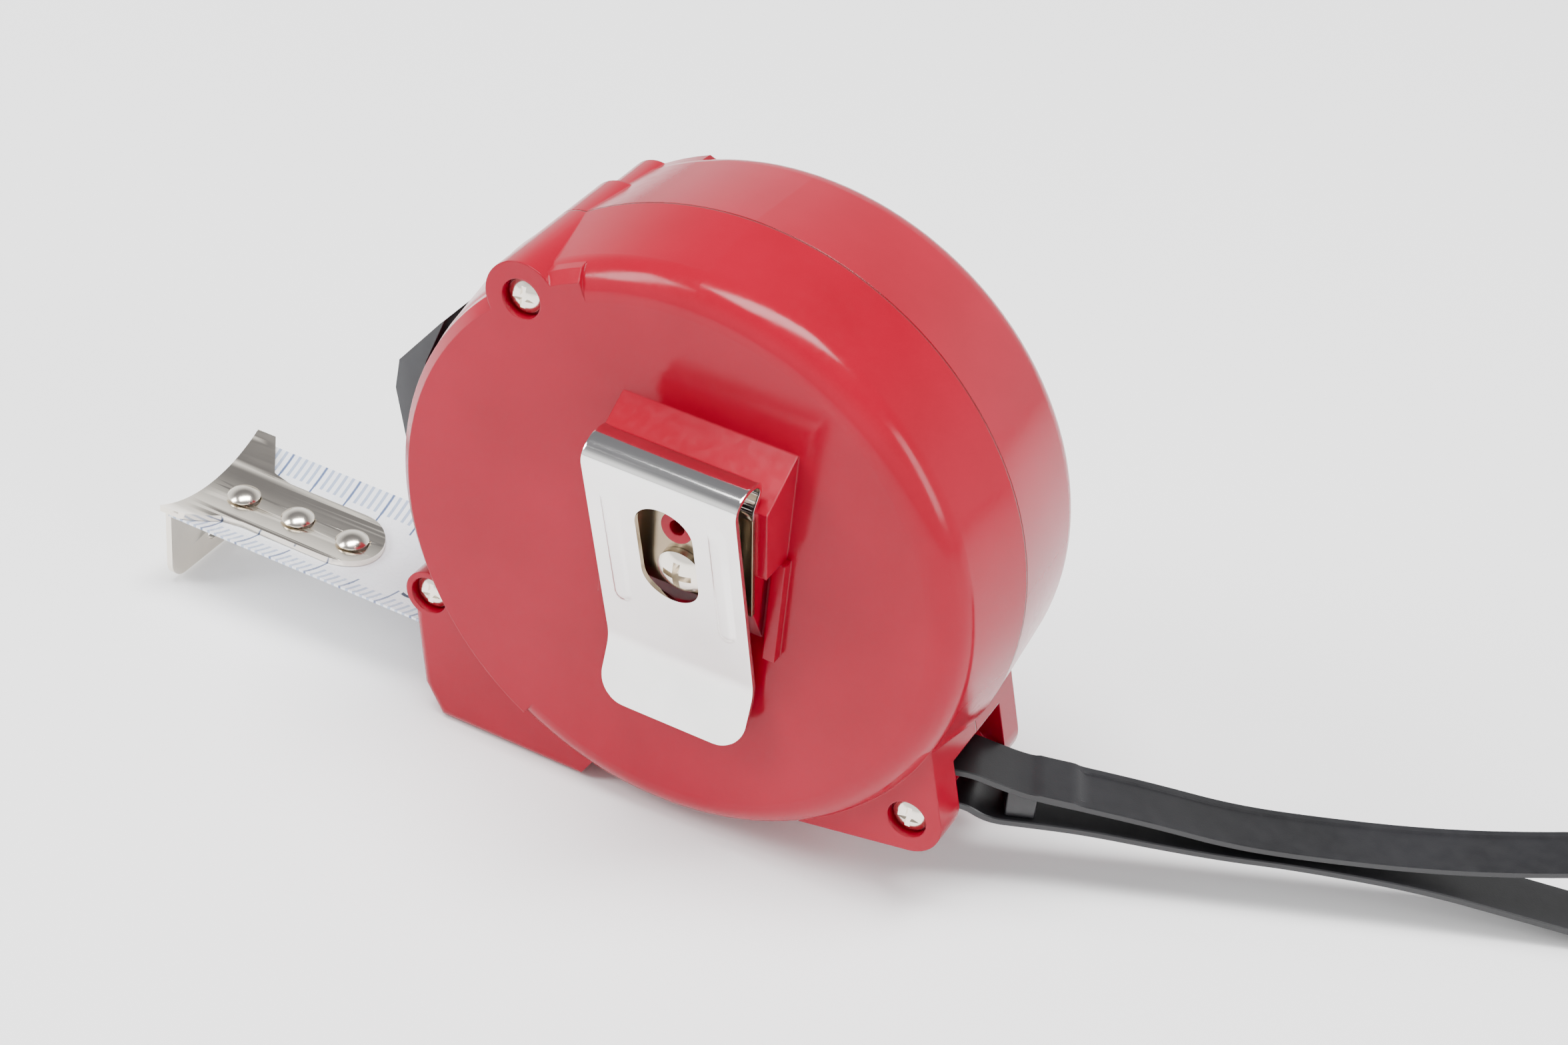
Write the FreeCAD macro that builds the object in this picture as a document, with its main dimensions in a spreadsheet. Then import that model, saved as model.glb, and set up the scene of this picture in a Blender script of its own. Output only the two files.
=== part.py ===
"""Pocket tape measure with a belt clip and a wrist strap, as an assembly of separate pieces.

Frame: +Z up, the object stands on its base at Z = 0. The reel turns about the line X = 0,
Z = axis_height, parallel to Y. The blade leaves towards -X, the strap lug is at +X, and the
belt clip is on the -Y side. The two case halves meet at Y = 0.
"""
import FreeCAD
import Part
import Sketcher
import math
import os
from FreeCAD import Placement, Rotation, Vector

DIMENSIONS = {
    # case
    "axis_height": 36.4, "disc_radius": 36.4, "near_depth": 13.1, "far_depth": 17.0,
    "near_draft": 2.0, "far_draft": 1.2, "near_round": 4.0, "far_round": 4.0,
    "wall": 1.8, "cavity_radius": 32.5, "far_boss_radius": 8.0, "far_boss_face": 11.2,
    "shoulder_x": 19.8, "shoulder_z": 62.4, "shoulder_radius": 4.4, "shoulder_far": 8.0,
    "front_round": 1.2, "front_from": 23.0, "front_sweep": 127.0,
    "foot_near": 11.4, "foot_far": 13.0, "foot_front": 33.7, "foot_toe": 31.6, "foot_back": 10.0,
    "foot_top": 22.0, "foot_toe_rise": 4.0, "foot_heel_rise": 5.0,
    "foot_screw_x": 31.0, "foot_screw_z": 17.2, "foot_ear_radius": 3.1,
    "lug_near": 10.6, "lug_far": 9.8, "lug_screw_x": 30.7, "lug_screw_z": 13.2,
    "lug_corner_radius": 4.2, "lug_heel_x": 18.0, "lug_heel_z": 6.6, "lug_top_z": 24.5,
    "lug_top_x": 32.0, "lug_inner_x": 20.0, "lug_inner_z": 16.0,
    "strap_slot_half": 6.0, "strap_slot_x": 24.0, "strap_slot_low": 7.0, "strap_slot_high": 19.6,
    "strap_post_radius": 1.7,
    "mouth_half": 9.8, "mouth_low": 6.6, "mouth_high": 13.4, "mouth_back": 8.0,
    "tail_room_low": 8.0, "tail_room_end": 19.2,
    "window_half": 4.0, "window_low": 27.5, "window_high": 50.0, "window_front": 45.0,
    "window_back": 29.0,
    "brake_room_half": 9.6, "brake_room_front": 28.6, "brake_room_back": 18.0,
    "brake_room_top": 24.0, "brake_pin_x": 21.5, "brake_pin_z": 17.2, "brake_post_radius": 2.2,
    "brake_arm_half": 8.8, "brake_pad_low": 11.12,
    "screw_post_radius": 3.6, "screw_clear_radius": 1.45, "screw_pilot_radius": 1.05,
    "screw_pilot_depth": 9.0, "screw_sink_radius": 2.35, "screw_sink_depth": 1.5,
    "screw_head_radius": 2.0,
    # pad and belt clip
    "clip_x": 3.5, "pad_half_width": 10.4, "pad_low_half": 8.6, "clip_half_width": 9.05,
    "clip_thickness": 0.6, "screw_x": 4.3, "clip_screw_z": 40.8, "clip_peg_z": 47.2, "clip_lean": 10.0,
    "pad_ridge_z": 56.2, "pad_top_y": 19.1, "pad_top_z": 52.0, "pad_step_y": 17.51, "pad_step_z": 43.0,
    "pad_low_y": 16.54, "pad_low_z": 37.5, "rail_offset": 10.2, "rail_half_width": 0.75,
    "rail_low": 30.2, "rail_high": 43.0, "rail_proud": 1.35,
    # reel
    "post_radius": 3.0, "running_gap": 0.06, "reel_half": 10.6, "flange": 0.8,
    "flange_radius": 26.0, "hub_radius": 16.6, "hub_wall": 1.2, "coil_inner": 17.0,
    "coil_outer": 24.0, "liner_radius": 26.3, "liner": 0.25,
    "spring_inner": 5.2, "spring_outer": 14.6, "spring_half": 7.5, "spring_turns": 7.0,
    # blade
    "blade_half": 9.5, "blade_sag": 2.2, "blade_thickness": 0.3, "blade_edge_z": 11.0,
    "blade_front": 69.7, "blade_tail": 17.4,
    # hook
    "hook_thickness": 0.8, "hook_gap": 0.08, "hook_body_half": 4.9, "hook_tip": 45.6,
    "hook_wing_half": 9.9, "hook_neck": 65.4, "hook_lip_low": 0.6, "hook_lip_half": 8.9,
    "hook_lip_corner": 2.6,
    "rivet_first": 65.4, "rivet_pitch": 8.0, "rivet_head": 2.05, "rivet_shank": 1.1,
    # strap
    "strap_width": 7.0, "strap_thickness": 0.9, "strap_yaw": 24.0, "strap_back": 1.8,
}

doc = FreeCAD.newDocument("TapeMeasure")
sheet = doc.addObject("Spreadsheet::Sheet", "Dims")
for row, (alias, number) in enumerate(DIMENSIONS.items(), start=1):
    sheet.set(f"A{row}", alias)
    sheet.set(f"B{row}", str(number))
    sheet.setAlias(f"B{row}", alias)
doc.recompute()
SIDE_OF_HALF = {"near": 1.0, "far": -1.0}
NODES = []


def value(text):
    """The number that a sum of sheet names and plain numbers stands for."""
    total, sign = 0.0, 1.0
    for token in str(text).split():
        if token in "+-":
            sign = 1.0 if token == "+" else -1.0
        elif token in DIMENSIONS:
            total += sign * float(sheet.get(token))
            sign = 1.0
        else:
            total += sign * float(token)
            sign = 1.0
    return total


def formula(text):
    """The same sum as an expression on the sheet."""
    return " ".join(f"Dims.{token}" if token in DIMENSIONS else token for token in str(text).split())


def bind(thing, name, text):
    thing.setExpression(name, formula(text))


def new_body(label):
    body = doc.addObject("PartDesign::Body", label)
    body.Label = label
    NODES.append(body)
    return body


def origin_plane(body, role):
    return next(item for item in body.Origin.OriginFeatures if item.Role == role)


def new_sketch(body, name, role="XZ_Plane", lift="0"):
    sketch = body.newObject("Sketcher::SketchObject", name)
    sketch.AttachmentSupport = [(origin_plane(body, role), "")]
    sketch.MapMode = "FlatFace"
    sketch.AttachmentOffset = Placement(Vector(0, 0, value(lift)), Rotation())
    if lift != "0":
        bind(sketch, ".AttachmentOffset.Base.z", lift)
    return sketch


def place_point(sketch, geometry, point, x, y):
    for kind, text in (("DistanceX", x), ("DistanceY", y)):
        index = sketch.addConstraint(Sketcher.Constraint(kind, geometry, point, value(text)))
        if any(token in DIMENSIONS for token in text.split()):
            sketch.setExpression(f"Constraints[{index}]", formula(text))


def circle(sketch, x, y, radius):
    middle = Vector(value(x), value(y), 0)
    index = sketch.addGeometry(Part.Circle(middle, Vector(0, 0, 1), value(radius)))
    place_point(sketch, index, 3, x, y)
    size = sketch.addConstraint(Sketcher.Constraint("Radius", index, value(radius)))
    sketch.setExpression(f"Constraints[{size}]", formula(radius))


def outline(sketch, corners):
    """A closed chain of straight sides whose corners are bound to the sheet."""
    ends = [Vector(value(x), value(y), 0) for x, y in corners]
    lines = [sketch.addGeometry(Part.LineSegment(ends[i], ends[(i + 1) % len(ends)]))
             for i in range(len(ends))]
    for i, line in enumerate(lines):
        following = lines[(i + 1) % len(lines)]
        sketch.addConstraint(Sketcher.Constraint("Coincident", line, 2, following, 1))
    for line, (x, y) in zip(lines, corners):
        place_point(sketch, line, 1, x, y)


def rectangle(sketch, left, right, low, high):
    outline(sketch, [(left, low), (right, low), (right, high), (left, high)])


def feature(body, kind, sketch, length=None, reverse=False):
    """A pad, pocket or revolution, with its effect on the volume checked."""
    doc.recompute()
    before = body.Shape.Volume if body.Tip else 0.0
    item = body.newObject(f"PartDesign::{kind}", f"{sketch.Name}_{kind}")
    item.Profile = sketch
    item.Reversed = reverse
    if length is not None:
        item.Length = value(length)
        bind(item, "Length", length)
    sketch.Visibility = False
    doc.recompute()
    change = body.Shape.Volume - before
    if (kind in ("Pocket", "Groove")) != (change < 0) or abs(change) < 1e-6:
        raise RuntimeError(f"{item.Name} changed the volume by {change:.3f}")
    return item


def revolve(body, sketch, axis_z, sweep="360"):
    """Turn a profile about the line Z = axis_z, parallel to Y."""
    start, end = Vector(-60, value(axis_z), 0), Vector(60, value(axis_z), 0)
    line = sketch.addGeometry(Part.LineSegment(start, end), True)
    place_point(sketch, line, 1, "-60", axis_z)
    place_point(sketch, line, 2, "60", axis_z)
    turned = body.newObject("PartDesign::Revolution", f"{sketch.Name}_Revolution")
    turned.Profile = sketch
    turned.ReferenceAxis = (sketch, ["Axis0"])
    turned.Angle = value(sweep)
    if sweep in DIMENSIONS:
        bind(turned, "Angle", sweep)
    doc.recompute()
    return turned


def round_edges(body, radius, chosen):
    """Round the edges of the body's tip that the chosen test picks."""
    doc.recompute()
    names = [f"Edge{i}" for i, edge in enumerate(body.Shape.Edges, start=1) if chosen(edge)]
    base = body.Tip
    fillet = body.newObject("PartDesign::Fillet", f"{body.Name}_Round")
    fillet.Base = (base, names)
    fillet.Radius = value(radius)
    bind(fillet, "Radius", radius)
    doc.recompute()
    if not names or not fillet.isValid():
        raise RuntimeError(f"{body.Label}: no round of {radius} on {names}")


def part_object(kind, label, **sizes):
    item = doc.addObject(f"Part::{kind}", label)
    for name, text in sizes.items():
        setattr(item, name, value(text))
        bind(item, name, text)
    return item


def solid_node(label, shape):
    """A piece that neither a body nor a primitive describes."""
    item = doc.addObject("Part::Feature", label)
    item.Label = label
    item.Shape = shape
    NODES.append(item)
    return item


def along_y(radius, length, x, y, z):
    """A plain cylinder that runs towards +Y."""
    return Part.makeCylinder(radius, length, Vector(x, y, z), Vector(0, 1, 0))


def ring_y(outer, inner, length, x, y, z):
    return along_y(outer, length, x, y, z).cut(along_y(inner, length, x, y, z))


axis_z = value("axis_height")
SCREWS = {
    "shoulder": ("- shoulder_x", "shoulder_z", "near_depth", "far_depth"),
    "foot": ("- foot_screw_x", "foot_screw_z", "foot_near", "foot_far"),
    "lug": ("lug_screw_x", "lug_screw_z", "lug_near", "lug_far"),
}


def outside_rim(edge, plane):
    """Whether an edge lies in the plane Y = plane, clear of the round drum."""
    middle = edge.CenterOfMass
    flat = max(abs(edge.BoundBox.YMin - plane), abs(edge.BoundBox.YMax - plane)) < 0.01
    return flat and math.hypot(middle.x, middle.z - axis_z) > value("disc_radius") + 0.3


def lug_tangent(corner, turn):
    """Where the line from a corner of the lug's web touches the round about its screw."""
    dx = value(f"{corner}_x - lug_screw_x")
    dz = value(f"{corner}_z - lug_screw_z")
    radius = value("lug_corner_radius")
    angle = math.atan2(dz, dx) + turn * math.acos(radius / math.hypot(dx, dz))
    return (f"lug_screw_x + {radius * math.cos(angle):.5f}", f"lug_screw_z + {radius * math.sin(angle):.5f}")


def case_half(label, half):
    """One moulded half of the case, hollow, with its screw posts, mouth and windows."""
    side = SIDE_OF_HALF[half]
    flip = side < 0
    outward = "- " if side > 0 else ""
    body = new_body(label)

    profile = new_sketch(body, f"{half}_disc", "YZ_Plane")
    face, seam = f"{outward}{half}_depth", "0"
    rim = f"axis_height + disc_radius - {half}_draft"
    outline(profile, [(seam, "axis_height"), (face, "axis_height"), (face, rim),
                      (seam, "axis_height + disc_radius")])
    revolve(body, profile, "axis_height")
    depth = value(f"{half}_depth")
    round_edges(body, f"{half}_round", lambda edge: abs(abs(edge.CenterOfMass.y) - depth) < 0.01)

    front = new_sketch(body, f"{half}_front", "YZ_Plane")
    rim_y = f"{outward}{half}_depth"
    inner_y = f"{outward}{half}_depth {'+' if side > 0 else '-'} front_round"
    outline(front, [(seam, "axis_height + 20.0"), (face, "axis_height + 20.0"),
                    (rim_y, f"{rim} - front_round"), (inner_y, rim), (seam, "axis_height + disc_radius")])
    turn = Rotation(Vector(1, 0, 0), -value("front_from + front_sweep"))
    front.AttachmentOffset = Placement(Vector(0, 0, 0), turn, Vector(0, axis_z, 0))
    revolve(body, front, "axis_height", "front_sweep")

    shoulder = new_sketch(body, f"{half}_shoulder")
    circle(shoulder, "- shoulder_x", "shoulder_z", "shoulder_radius")
    feature(body, "Pad", shoulder, "shoulder_far" if flip else "near_depth", flip)

    foot = new_sketch(body, f"{half}_foot")
    outline(foot, [("- foot_toe", "foot_toe_rise"), ("- foot_toe + 2.6", "0"), ("- foot_back", "0"),
                   ("- foot_back + 3.0", "foot_heel_rise"), ("- foot_back", "foot_top"),
                   ("- foot_screw_x", "foot_screw_z + foot_ear_radius - 0.7"),
                   ("- foot_front", "foot_screw_z")])
    feature(body, "Pad", foot, f"foot_{half}", flip)
    foot_face = -side * value(f"foot_{half}")
    round_edges(body, "1.4", lambda edge: outside_rim(edge, foot_face) and edge.CenterOfMass.x < 0)

    ear = new_sketch(body, f"{half}_foot_ear")
    circle(ear, "- foot_screw_x", "foot_screw_z", "foot_ear_radius")
    feature(body, "Pad", ear, f"foot_{half}", flip)

    lug = new_sketch(body, f"{half}_lug")
    circle(lug, "lug_screw_x", "lug_screw_z", "lug_corner_radius")
    feature(body, "Pad", lug, f"lug_{half}", flip)
    web = new_sketch(body, f"{half}_lug_web")
    outline(web, [("lug_heel_x", "lug_heel_z"), lug_tangent("lug_heel", 1), lug_tangent("lug_top", -1),
                  ("lug_top_x", "lug_top_z"), ("lug_inner_x", "lug_inner_z")])
    feature(body, "Pad", web, f"lug_{half}", flip)
    cavity = new_sketch(body, f"{half}_cavity")
    circle(cavity, "0", "axis_height", "cavity_radius")
    feature(body, "Pocket", cavity, f"{half}_depth - wall", not flip)

    posts = new_sketch(body, f"{half}_post")
    circle(posts, "- shoulder_x", "shoulder_z", "screw_post_radius")
    circle(posts, "- brake_pin_x", "brake_pin_z", "brake_post_radius")
    feature(body, "Pad", posts, f"{half}_depth - wall + 0.4", flip)

    for name, box, reach in (
            ("mouth", ("-50", "- mouth_back", "mouth_low", "mouth_high"), "mouth_half"),
            ("tail_room", ("- mouth_back - 0.5", "tail_room_end", "tail_room_low", "mouth_high"),
             "mouth_half"),
            ("window", ("- window_front", "- window_back", "window_low", "window_high"), "window_half"),
            ("brake_room", ("- brake_room_front", "- brake_room_back", "mouth_high - 1.0",
                            "brake_room_top"), "brake_room_half"),
            ("strap_slot", ("strap_slot_x", "60", "strap_slot_low", "strap_slot_high"),
             "strap_slot_half")):
        cut = new_sketch(body, f"{half}_{name}")
        rectangle(cut, *box)
        feature(body, "Pocket", cut, reach, not flip)

    strap_post = new_sketch(body, f"{half}_strap_post")
    circle(strap_post, "lug_screw_x", "lug_screw_z", "strap_post_radius")
    feature(body, "Pad", strap_post, "strap_slot_half + 0.5", flip)

    for name, (x, z, near, far) in SCREWS.items():
        hole = new_sketch(body, f"{half}_{name}_hole")
        if half == "near":
            circle(hole, x, z, "screw_clear_radius")
            feature(body, "Pocket", hole, near, not flip)
            sink = new_sketch(body, f"{name}_sink", lift=f"{near} - screw_sink_depth")
            circle(sink, x, z, "screw_sink_radius")
            feature(body, "Pocket", sink, "20", not flip)
        else:
            circle(hole, x, z, "screw_pilot_radius")
            feature(body, "Pocket", hole, "screw_pilot_depth - 0.6", not flip)

    if half == "far":
        boss = new_sketch(body, "far_hub_boss", lift="0 - far_boss_face")
        circle(boss, "0", "axis_height", "far_boss_radius")
        feature(body, "Pad", boss, "far_depth - far_boss_face - 1.0", True)
    centre = new_sketch(body, f"{half}_centre")
    circle(centre, "0", "axis_height", "post_radius")
    feature(body, "Pocket", centre, f"{half}_depth - 0.9", not flip)
    return body


near = case_half("case_half_clip_side", "near")
far = case_half("case_half_label_side", "far")

# Wedge-shaped pad that carries the belt clip, with its two rails and its peg, on the clip side.
for name, half_width, corners in (
        ("pad", "pad_half_width", [("- near_depth + 0.5", "pad_ridge_z + 0.35"), ("- pad_top_y", "pad_top_z"),
                                   ("- pad_step_y", "pad_step_z"), ("- near_depth + 0.5", "pad_step_z")]),
        ("pad_foot", "pad_low_half", [("- near_depth + 0.5", "pad_step_z"), ("- pad_step_y", "pad_step_z"),
                                      ("- pad_low_y", "pad_low_z"), ("- near_depth + 0.5", "31.0")])):
    pad = new_sketch(near, name, "YZ_Plane", f"clip_x - {half_width}")
    outline(pad, corners)
    feature(near, "Pad", pad, f"{half_width} + {half_width}", False)
for index, offset in enumerate(("clip_x - rail_offset", "clip_x + rail_offset")):
    rail = new_sketch(near, f"rail_{index}", lift="near_depth - 0.5")
    rectangle(rail, f"{offset} - rail_half_width", f"{offset} + rail_half_width", "rail_low", "rail_high")
    feature(near, "Pad", rail, "rail_proud + 0.5", False)

LEAN = math.radians(value("clip_lean"))
pad_normal = Vector(0, -math.cos(LEAN), -math.sin(LEAN))


def pad_front(z):
    """Y of the pad's flat front at height z."""
    rise = value("pad_top_z - pad_low_z")
    return -value("pad_top_y") + value("pad_top_y - pad_low_y") * (value("pad_top_z") - z) / rise


screw_point = Vector(value("screw_x"), pad_front(value("clip_screw_z")), value("clip_screw_z"))
pilot = new_sketch(near, "clip_pilot", "XZ_Plane", "near_depth - 0.4")
circle(pilot, "screw_x", "clip_screw_z + 0.5", "1.75")
feature(near, "Pocket", pilot, "20", True)
peg = new_sketch(near, "clip_peg", "XZ_Plane", "pad_step_y - 0.6")
circle(peg, "screw_x", "clip_peg_z", "1.9")
circle(peg, "screw_x", "clip_peg_z", "0.9")
feature(near, "Pad", peg, "3.2", False)

# Case screws: pan heads on the clip side, shanks through to the label side.
screws = []
for x_text, z_text, near_face, far_face in SCREWS.values():
    x, z = value(x_text), value(z_text)
    bearing = -value(f"{near_face} - screw_sink_depth")
    head_r = value("screw_head_radius")
    head = along_y(head_r, 0.6, x, bearing - 0.6, z)
    crown = Part.makeSphere(3.2, Vector(x, bearing + 1.9, z))
    crown = crown.common(along_y(head_r, 1.2, x, bearing - 1.7, z))
    shank = along_y(1.0, 7.4 - bearing, x, bearing, z)
    slot = Part.makeBox(2.6, 1.0, 0.6, Vector(x - 1.3, bearing - 2.0, z - 0.3))
    cross = Part.makeBox(0.6, 1.0, 2.6, Vector(x - 0.3, bearing - 2.0, z - 1.3))
    screws.append(head.fuse(crown).fuse(shank).cut(slot).cut(cross).removeSplitter())
solid_node("case_screws", Part.makeCompound(screws))

# Belt clip: one folded strip of spring steel, the sprung leg first and then the fold and base.
sheet_gap = 0.02
clip = new_body("belt_clip")


def ribbon(points, thickness):
    """Both edges of a strip of even thickness about a chain of points, with mitred bends."""
    edges = ([], [])
    for i, here in enumerate(points):
        before = (here - points[i - 1]).normalize() if i else None
        after = (points[i + 1] - here).normalize() if i + 1 < len(points) else None
        along = (before or after) + (after or before)
        along.normalize()
        across = Vector(-along.y, along.x, 0)
        reach = thickness / 2 / abs((after or before).dot(along))
        edges[0].append(here + across * reach)
        edges[1].append(here - across * reach)
    return edges


seat_y = sheet_gap + value("clip_thickness") / 2
lip_end, lip_bend, top_bend = Vector(-16.2, 17.8, 0), Vector(-14.3, 25.1, 0), Vector(-23.6, 54.2, 0)
leg_top = top_bend + (lip_bend - top_bend) * 0.05
neck_z, base_low = value("pad_top_z") + 0.2, 37.3
clip_line = [lip_end, lip_bend, leg_top, top_bend, Vector(-22.6, 55.4, 0), Vector(-21.0, 55.9, 0),
             Vector(-19.0, 55.6, 0), Vector(-18.1, 54.3, 0), Vector(pad_front(neck_z) - seat_y, neck_z, 0),
             Vector(pad_front(base_low) - seat_y, base_low, 0)]
clip_edges = ribbon(clip_line, value("clip_thickness"))


def clip_strip(name, first, last):
    """Pad the clip's strip between two of its bends, across its whole width."""
    strip = new_sketch(clip, name, "YZ_Plane", "clip_x - clip_half_width")
    corners = clip_edges[0][first:last + 1] + clip_edges[1][first:last + 1][::-1]
    outline(strip, [(f"{p.x:.4f}", f"{p.y:.4f}") for p in corners])
    feature(clip, "Pad", strip, "clip_half_width + clip_half_width", False)


clip_strip("clip_leg", 0, 2)
window = new_sketch(clip, "clip_window", "XZ_Plane", "near_depth")
outline(window, [("clip_x - 3.4", "39.4"), ("clip_x - 2.4", "37.4"), ("clip_x - 0.6", "36.4"),
                 ("clip_x + 1.2", "36.3"), ("clip_x + 2.8", "37.2"), ("clip_x + 3.6", "39.2"),
                 ("clip_x + 3.6", "47.4"), ("clip_x + 2.8", "49.4"), ("clip_x + 1.2", "50.5"),
                 ("clip_x - 0.8", "50.5"), ("clip_x - 2.6", "49.3"), ("clip_x - 3.4", "47.4")])
feature(clip, "Pocket", window, "20", True)
clip_strip("clip_fold", 2, 9)
eye = new_sketch(clip, "clip_eye", "XZ_Plane", "near_depth")
circle(eye, "screw_x", "clip_screw_z + 0.1", "1.6")
circle(eye, "screw_x", "clip_peg_z", "2.1")
feature(clip, "Pocket", eye, "pad_top_y - near_depth + 1.0", True)
round_edges(clip, "3.4", lambda edge: edge.BoundBox.ZMax < 18.4 and edge.BoundBox.XLength < 0.01
            and edge.BoundBox.DiagonalLength < 1.2)

bearing = screw_point + pad_normal * (value("clip_thickness") + 3 * sheet_gap)
head = Part.makeCylinder(2.7, 0.7, bearing, pad_normal)
crown = Part.makeSphere(4.4, bearing - pad_normal * 2.7)
crown = crown.common(Part.makeCylinder(2.7, 3.0, bearing, pad_normal))
shank = Part.makeCylinder(1.2, 4.6, bearing, pad_normal * -1)
clip_screw = head.fuse(crown).fuse(shank)
recess = Part.makeBox(3.4, 1.4, 0.8, Vector(-1.7, -1.9, -0.4)).fuse(
    Part.makeBox(0.8, 1.4, 3.4, Vector(-0.4, -1.9, -1.7)))
recess.Placement = Placement(bearing, Rotation(Vector(1, 0, 0), value("clip_lean")))
solid_node("clip_screw", clip_screw.cut(recess).removeSplitter())

# Reel and what turns with it.
drum = new_body("reel_drum")
drum_profile = new_sketch(drum, "drum_profile", "YZ_Plane")
outline(drum_profile, [
    ("- reel_half", "axis_height + post_radius + running_gap"),
    ("- reel_half", "axis_height + flange_radius"),
    ("- reel_half + flange", "axis_height + flange_radius"),
    ("- reel_half + flange", "axis_height + hub_radius"),
    ("reel_half - flange - 0.1", "axis_height + hub_radius"),
    ("reel_half - flange - 0.1", "axis_height + hub_radius - hub_wall"),
    ("- reel_half + flange + 0.4", "axis_height + hub_radius - hub_wall"),
    ("- reel_half + flange + 0.4", "axis_height + post_radius + running_gap")])
revolve(drum, drum_profile, "axis_height")
cover = new_body("reel_cover")
cover_profile = new_sketch(cover, "cover_profile", "YZ_Plane")
outline(cover_profile, [
    ("reel_half - flange", "axis_height + post_radius + running_gap"),
    ("reel_half - flange", "axis_height + flange_radius"),
    ("reel_half", "axis_height + flange_radius"),
    ("reel_half", "axis_height + post_radius + running_gap")])
revolve(cover, cover_profile, "axis_height")
coil = new_body("tape_coil")
coil_profile = new_sketch(coil, "coil_profile", "YZ_Plane")
outline(coil_profile, [("- blade_half", "axis_height + coil_inner"), ("- blade_half", "axis_height + coil_outer"),
                       ("blade_half", "axis_height + coil_outer"), ("blade_half", "axis_height + coil_inner")])
revolve(coil, coil_profile, "axis_height")
link = Part.makeBox(3.0, 9.0, 0.25, Vector(-1.5, -4.5, axis_z - value("hub_radius") - 0.31))
solid_node("spring_blade_link", link)

post = part_object("Cylinder", "centre_post", Radius="post_radius",
                   Height="near_depth + far_depth - 1.8")
post.Label = "centre_post"
post.Placement = Placement(Vector(0, -value("near_depth - 0.9"), axis_z), Rotation(Vector(1, 0, 0), -90))
NODES.append(post)
for label, y in (("liner_disc_clip_side", -value("near_depth - wall - 0.02")),
                 ("liner_disc_label_side", value("far_boss_face - liner"))):
    solid_node(label, ring_y(value("liner_radius" if "clip" in label else "far_boss_radius"),
                             value("post_radius") + 0.2, value("liner"), 0, y, axis_z))


def spiral_spring():
    """The mainspring: a thin ribbon wound as an even spiral, thickened to a solid."""
    inner, outer = value("spring_inner"), value("spring_outer")
    turns, ribbon, steps = int(value("spring_turns")), 0.3, 16
    pitch = (outer - inner) / turns

    def side(offset):
        points = []
        for i in range(turns * steps + 1):
            angle = 2 * math.pi * i / steps
            radius = inner + pitch * i / steps + offset
            points.append(Vector(radius * math.cos(angle), 0, radius * math.sin(angle)))
        curve = Part.BSplineCurve()
        curve.interpolate(points)
        return curve.toShape(), points

    (inside, first), (outside, second) = side(0.0), side(ribbon)
    wire = Part.Wire([inside, Part.makeLine(first[-1], second[-1]), outside,
                      Part.makeLine(second[0], first[0])])
    width = 2 * value("spring_half")
    solid = Part.Face(wire).extrude(Vector(0, width, 0))
    solid.translate(Vector(0, -width / 2, axis_z))
    return solid


solid_node("mainspring", spiral_spring())

# Blade: a straight stretch of cupped steel tape.
sag, half_width = value("blade_sag"), value("blade_half")
cup = (half_width ** 2 + sag ** 2) / (2 * sag)
cup_centre_z = value("blade_edge_z") - sag + cup


def cupped(low, high, half_y, x0, x1):
    """A cupped strip between two heights above the blade's underside, from x0 to x1."""
    def arc(radius):
        reach = math.sqrt(radius ** 2 - half_y ** 2)
        return [Vector(x0, -half_y, cup_centre_z - reach), Vector(x0, 0, cup_centre_z - radius),
                Vector(x0, half_y, cup_centre_z - reach)]
    under, over = arc(cup - low), arc(cup - high)
    wire = Part.Wire([Part.Arc(*under).toShape(), Part.makeLine(under[2], over[2]),
                      Part.Arc(*over[::-1]).toShape(), Part.makeLine(over[0], under[0])])
    return Part.Face(wire).extrude(Vector(x1 - x0, 0, 0))


front, tail = -value("blade_front"), -value("blade_tail")
thick, sheet_t, play = value("blade_thickness"), value("hook_thickness"), value("hook_gap")
blade_shape = cupped(0, thick, half_width, front + 0.1, tail)
rivet_x = [-value("rivet_first") + i * value("rivet_pitch") for i in range(3)]
hook_floor = cup_centre_z - cup + thick
shank_r, head_r = value("rivet_shank"), value("rivet_head")
for x in rivet_x:
    blade_shape = blade_shape.cut(Part.makeCylinder(shank_r + 0.02, 6, Vector(x, 0, 5)))
solid_node("tape_blade", blade_shape)

# End hook: a T plate that follows the blade's cup, folded down into a lip.
low, high = thick + play, thick + play + sheet_t
plate = cupped(low, high, value("hook_wing_half"), front - sheet_t, 0)
neck, tip = -value("hook_neck"), -value("hook_tip")
body_half, wing_half = value("hook_body_half"), value("hook_wing_half")
t_outline = [Vector(front - 2, -wing_half, 0), Vector(front + 1.9, -wing_half, 0),
             Vector(neck + 0.6, -body_half - 0.6, 0),
             Vector(neck + 3.4, -body_half, 0), Vector(tip - body_half, -body_half, 0)]
mirror = [Vector(v.x, -v.y, 0) for v in reversed(t_outline)]
edges = [Part.makeLine(t_outline[i], t_outline[i + 1]) for i in range(4)]
edges.append(Part.Arc(t_outline[-1], Vector(tip, 0, 0), mirror[0]).toShape())
edges += [Part.makeLine(mirror[i], mirror[i + 1]) for i in range(4)]
edges.append(Part.makeLine(mirror[-1], t_outline[0]))
t_prism = Part.Face(Part.Wire(edges)).extrude(Vector(0, 0, 30))
plate = plate.common(t_prism)
reach = math.sqrt((cup - high) ** 2 - wing_half ** 2)
lip_half, lip_low, lip_r = value("hook_lip_half"), value("hook_lip_low"), value("hook_lip_corner")
lip_height = cup_centre_z - reach - lip_low
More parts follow.
